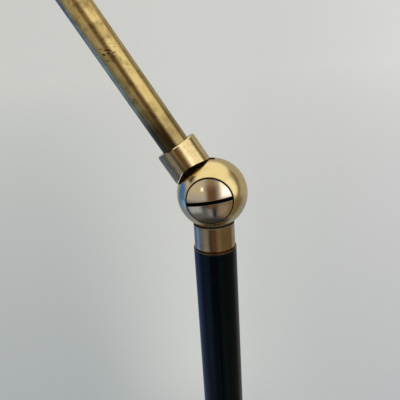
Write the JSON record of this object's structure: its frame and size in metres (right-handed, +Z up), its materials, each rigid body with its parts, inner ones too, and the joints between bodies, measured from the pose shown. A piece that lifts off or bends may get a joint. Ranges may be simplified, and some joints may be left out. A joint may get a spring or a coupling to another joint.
{
  "type": "adjustable arm floor lamp",
  "caption": "Floor lamp with a round weighted base, black stem, brass ball-jointed arm that tilts and swivels, and a tilting conical shade.",
  "frame": {"origin": "middle of the base's felt underside, on the floor and on the stem's axis", "axes": "+Z up along the stem, both tilt pivots along Y, arm leaning towards -X at rest"},
  "size_m": [0.5965, 0.262, 1.4767],
  "materials": {
    "base_lacquer": "black gloss lacquer over cast iron",
    "stem_lacquer": "black gloss lacquer",
    "shade_lacquer": "black lacquer outside, white enamel inside",
    "felt": "dense black felt",
    "gland_rubber": "moulded rubber",
    "zinc_steel": "zinc plated",
    "bronze": "plain bronze",
    "cable_sheath": "PVC sheath",
    "brass_turned": "turned and lacquered, lightly aged",
    "brass_ball": "polished and lacquered, warm",
    "brass_polished": "mirror polished, pale",
    "brass_dark": "unpolished, dark",
    "brass_aged": "aged, with fine speckles and pits",
    "holder_plastic": "black phenolic",
    "knob_plastic": "black",
    "shell_metal": "satin",
    "bulb_glass": "frosted white"
  },
  "bodies": {
    "stand": {"base": "base_lacquer", "base_felt": "felt", "cable_gland": "gland_rubber", "base_rod": "zinc_steel", "base_washer": "zinc_steel", "base_nut": "zinc_steel", "foot_ring": "brass_turned", "stem_plug": "zinc_steel", "stem": "stem_lacquer", "stem_set_screw": "zinc_steel", "swivel_washer": "bronze", "stem_cable": "cable_sheath"},
    "turret": {"elbow_collar": "brass_turned", "elbow_ball": "brass_ball", "elbow_screw": "brass_polished", "elbow_nut": "brass_polished", "elbow_spring_washer": "zinc_steel", "elbow_nipple": "zinc_steel"},
    "arm": {"elbow_tongue": "brass_dark", "elbow_sleeve": "brass_turned", "arm_tube": "brass_aged", "arm_cable": "cable_sheath", "head_collar": "brass_turned", "head_ball": "brass_ball", "head_screw": "brass_polished", "head_nut": "brass_polished", "head_spring_washer": "zinc_steel", "head_nipple": "zinc_steel"},
    "head": {"head_tongue": "brass_dark", "head_sleeve": "brass_turned", "neck_tube": "brass_turned", "holder_cap": "brass_turned", "lampholder": "holder_plastic", "holder_shell": "shell_metal", "holder_contact": "brass_dark", "shade": "shade_lacquer", "shade_ring": "holder_plastic", "bulb_cap": "shell_metal", "bulb_glass": "bulb_glass", "switch_body": "holder_plastic"},
    "knob": {"switch_knob": "knob_plastic"}
  },
  "joints": [
    {"name": "stem_swivel", "type": "hinge", "parent": "stand", "child": "turret", "pos_m": [0, 0, 1.04], "axis": [0, 0, 1], "range_deg": [-170, 170]},
    {"name": "elbow_tilt", "type": "hinge", "parent": "turret", "child": "arm", "pos_m": [0, 0, 1.08], "axis": [0, -1, 0], "range_deg": [-27, 65]},
    {"name": "head_tilt", "type": "hinge", "parent": "arm", "child": "head", "pos_m": [-0.23431, 0, 1.46419], "axis": [0, -1, 0], "range_deg": [-85, 7]},
    {"name": "switch_turn", "type": "hinge", "parent": "head", "child": "knob", "pos_m": [-0.28991, 0, 1.43052], "axis": [0, -1, 0], "range_deg": [0, 90]}
  ]
}
